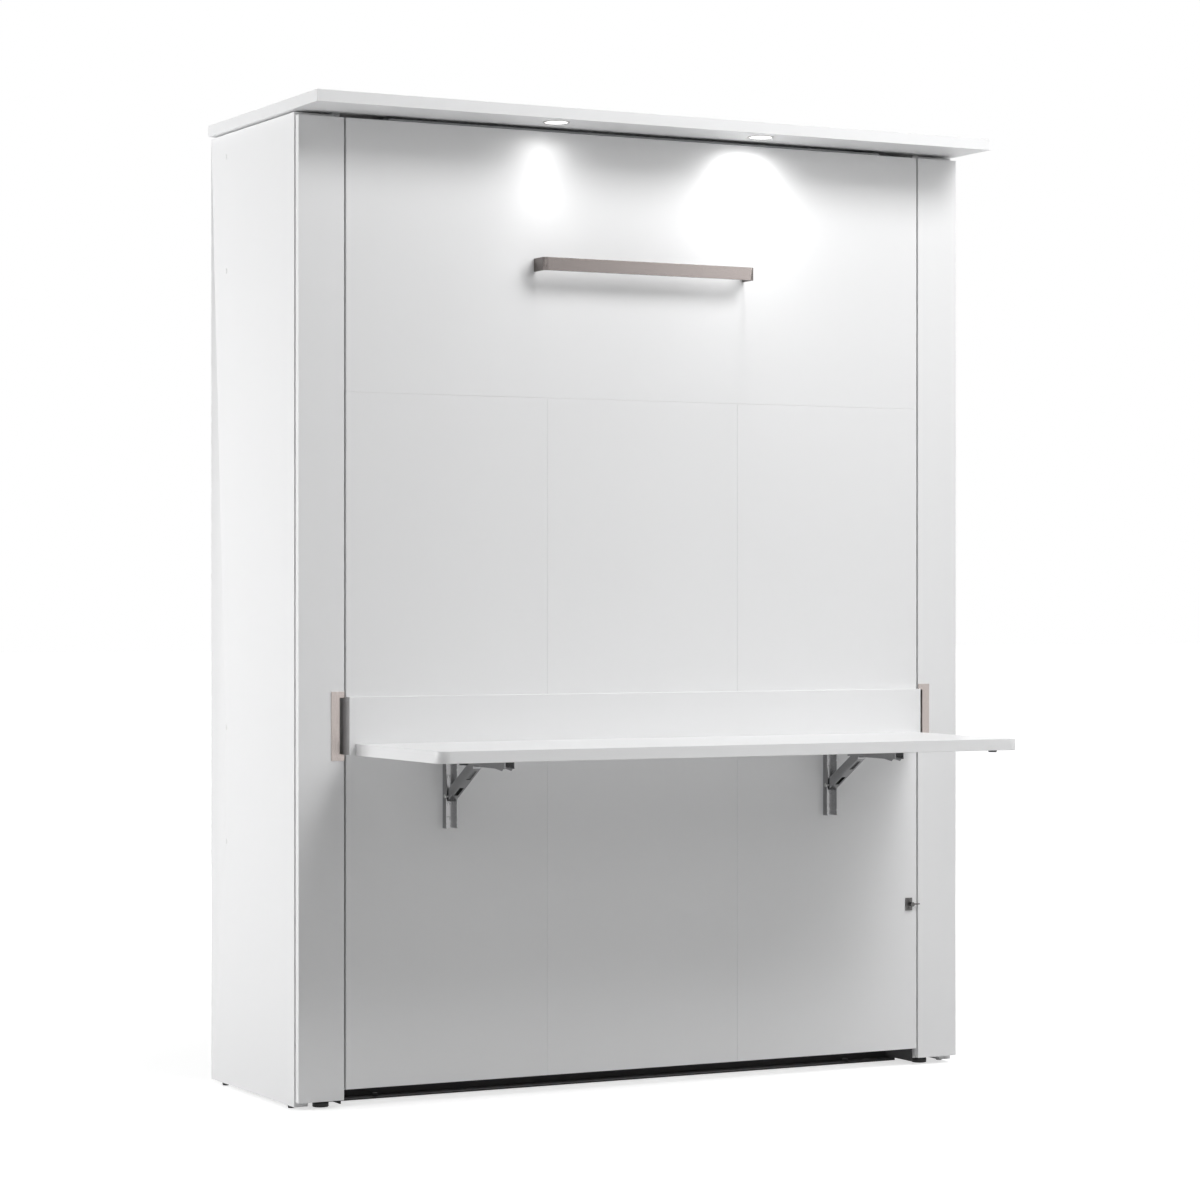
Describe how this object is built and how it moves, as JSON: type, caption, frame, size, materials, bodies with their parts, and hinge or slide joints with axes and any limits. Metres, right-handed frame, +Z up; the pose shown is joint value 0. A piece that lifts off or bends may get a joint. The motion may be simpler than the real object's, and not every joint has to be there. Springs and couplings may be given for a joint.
{
  "type": "wall bed with fold down desk",
  "caption": "Vertical wall bed cabinet with a white folding bed face, a fold down desk on folding brackets, hinged side doors, a pull bar and a lit crown.",
  "frame": {"origin": "on the floor, under the middle of the whole object's box with the desk raised", "axes": "+X to the right seen from the front, +Y towards the wall, +Z up; the front faces -Y"},
  "size_m": [1.683, 0.953, 2.148],
  "materials": {
    "white_board": "white melamine faced board",
    "frame_board": "white melamine faced board",
    "white_plastic": "satin white",
    "light_lens": "frosted diffuser, lit",
    "black_steel": "matt black powder coat",
    "black_plastic": "matt black",
    "grey_steel": "grey powder coat",
    "bright_steel": "nickel plated",
    "bracket_steel": "zinc plated sheet, dull",
    "brushed_nickel": "brushed warm nickel",
    "beech_slat": "clear lacquered beech veneer",
    "mattress_cloth": "knitted ticking",
    "cylinder_black": "gloss black"
  },
  "bodies": {
    "cabinet": {"left_side_panel": "white_board", "right_side_panel": "white_board", "left_divider": "white_board", "right_divider": "white_board", "left_shelves": "white_board", "right_shelves": "white_board", "crown": "white_board", "light_trims": "white_plastic", "light_lenses": "light_lens", "upper_back_rail": "white_board", "lower_back_rail": "white_board", "floor_rail": "black_steel", "nail_glides": "black_plastic", "levelling_feet": "black_plastic", "cover_caps": "white_plastic", "pivot_plates": "grey_steel", "pivot_pins": "bright_steel", "spring_anchors": "grey_steel", "hinge_arms": "bright_steel"},
    "left_door": {"left_door": "white_board", "left_edge_pull": "brushed_nickel", "left_hinge_cups": "bright_steel"},
    "right_door": {"right_door": "white_board", "right_edge_pull": "brushed_nickel", "right_hinge_cups": "bright_steel"},
    "bed": {"face_top_panel": "white_board", "face_left_panel": "white_board", "face_middle_panel": "white_board", "face_right_panel": "white_board", "left_side_rail": "frame_board", "right_side_rail": "frame_board", "head_rail": "frame_board", "foot_rail": "frame_board", "cross_tubes": "grey_steel", "slats": "beech_slat", "slat_holders": "black_plastic", "mattress": "mattress_cloth", "pull_bar": "brushed_nickel", "desk_back_rail": "white_board", "left_bracket_leg": "bracket_steel", "right_bracket_leg": "bracket_steel", "bracket_pins": "bright_steel", "bed_pivot_plates": "grey_steel", "latch_plate": "bright_steel", "foot_guides": "grey_steel"},
    "latch": {"latch_lever": "bright_steel"},
    "foot_frame": {"foot_frame": "grey_steel"},
    "left_gas_cylinder": {"left_gas_cylinder": "cylinder_black"},
    "left_gas_rod": {"left_gas_rod": "bright_steel"},
    "right_gas_cylinder": {"right_gas_cylinder": "cylinder_black"},
    "right_gas_rod": {"right_gas_rod": "bright_steel"},
    "desk": {"desktop": "white_board", "left_bracket_arm": "bracket_steel", "right_bracket_arm": "bracket_steel", "desk_pads": "black_plastic"},
    "left_strut": {"left_strut": "bracket_steel"},
    "right_strut": {"right_strut": "bracket_steel"},
    "left_release": {"left_release": "black_plastic"},
    "right_release": {"right_release": "black_plastic"}
  },
  "joints": [
    {"name": "bed_fold", "type": "hinge", "parent": "cabinet", "child": "bed", "pos_m": [0, 0.0705, 0.3], "axis": [1, 0, 0], "range_deg": [0, 90], "stiffness_Nm_per_rad": 500},
    {"name": "left_door_swing", "type": "hinge", "parent": "cabinet", "child": "left_door", "pos_m": [-0.83, -0.0145, 1.0645], "axis": [0, 0, -1], "range_deg": [0, 100]},
    {"name": "right_door_swing", "type": "hinge", "parent": "cabinet", "child": "right_door", "pos_m": [0.83, -0.0145, 1.0645], "axis": [0, 0, 1], "range_deg": [0, 100]},
    {"name": "latch_turn", "type": "hinge", "parent": "bed", "child": "latch", "pos_m": [0.703, -0.0415, 0.3765], "axis": [0, -1, 0], "range_deg": [0, 90]},
    {"name": "foot_slide", "type": "slide", "parent": "bed", "child": "foot_frame", "axis": [0, -1, 0], "range_m": [0, 0.197]},
    {"name": "left_spring_swing", "type": "hinge", "parent": "cabinet", "child": "left_gas_cylinder", "pos_m": [-0.7101, 0.1305, 0.86], "axis": [1, 0, 0], "range_deg": [-9.27, 0]},
    {"name": "left_spring_stroke", "type": "slide", "parent": "left_gas_cylinder", "child": "left_gas_rod", "axis": [0, 0.0357, -0.9994], "range_m": [-0.0776, 0]},
    {"name": "right_spring_swing", "type": "hinge", "parent": "cabinet", "child": "right_gas_cylinder", "pos_m": [0.7101, 0.1305, 0.86], "axis": [1, 0, 0], "range_deg": [-9.27, 0]},
    {"name": "right_spring_stroke", "type": "slide", "parent": "right_gas_cylinder", "child": "right_gas_rod", "axis": [0, 0.0357, -0.9994], "range_m": [-0.0776, 0]},
    {"name": "desk_fold", "type": "hinge", "parent": "bed", "child": "desk", "pos_m": [0, -0.048, 0.7385], "axis": [1, 0, 0], "range_deg": [0, 90]},
    {"name": "left_strut_fold", "type": "hinge", "parent": "bed", "child": "left_strut", "pos_m": [-0.4805, -0.048, 0.6595], "axis": [1, 0, 0], "range_deg": [0, 120.32]},
    {"name": "right_strut_fold", "type": "hinge", "parent": "bed", "child": "right_strut", "pos_m": [0.4805, -0.048, 0.6595], "axis": [1, 0, 0], "range_deg": [0, 120.32]},
    {"name": "left_release_press", "type": "hinge", "parent": "desk", "child": "left_release", "pos_m": [-0.4805, -0.2965, 0.744], "axis": [-1, 0, 0], "range_deg": [0, 5], "stiffness_Nm_per_rad": 0.6, "springref_deg": -5.16},
    {"name": "right_release_press", "type": "hinge", "parent": "desk", "child": "right_release", "pos_m": [0.4805, -0.2965, 0.744], "axis": [-1, 0, 0], "range_deg": [0, 5], "stiffness_Nm_per_rad": 0.6, "springref_deg": -5.16}
  ],
  "couplings": [
    {"joint": "left_spring_swing", "follows": "bed_fold", "ratio": -0.10189},
    {"joint": "left_spring_stroke", "follows": "bed_fold", "m_per_rad": -0.048779},
    {"joint": "left_strut_fold", "follows": "desk_fold", "ratio": 1.3363},
    {"joint": "right_spring_swing", "follows": "bed_fold", "ratio": -0.10189},
    {"joint": "right_spring_stroke", "follows": "bed_fold", "m_per_rad": -0.048779},
    {"joint": "right_strut_fold", "follows": "desk_fold", "ratio": 1.3363}
  ]
}
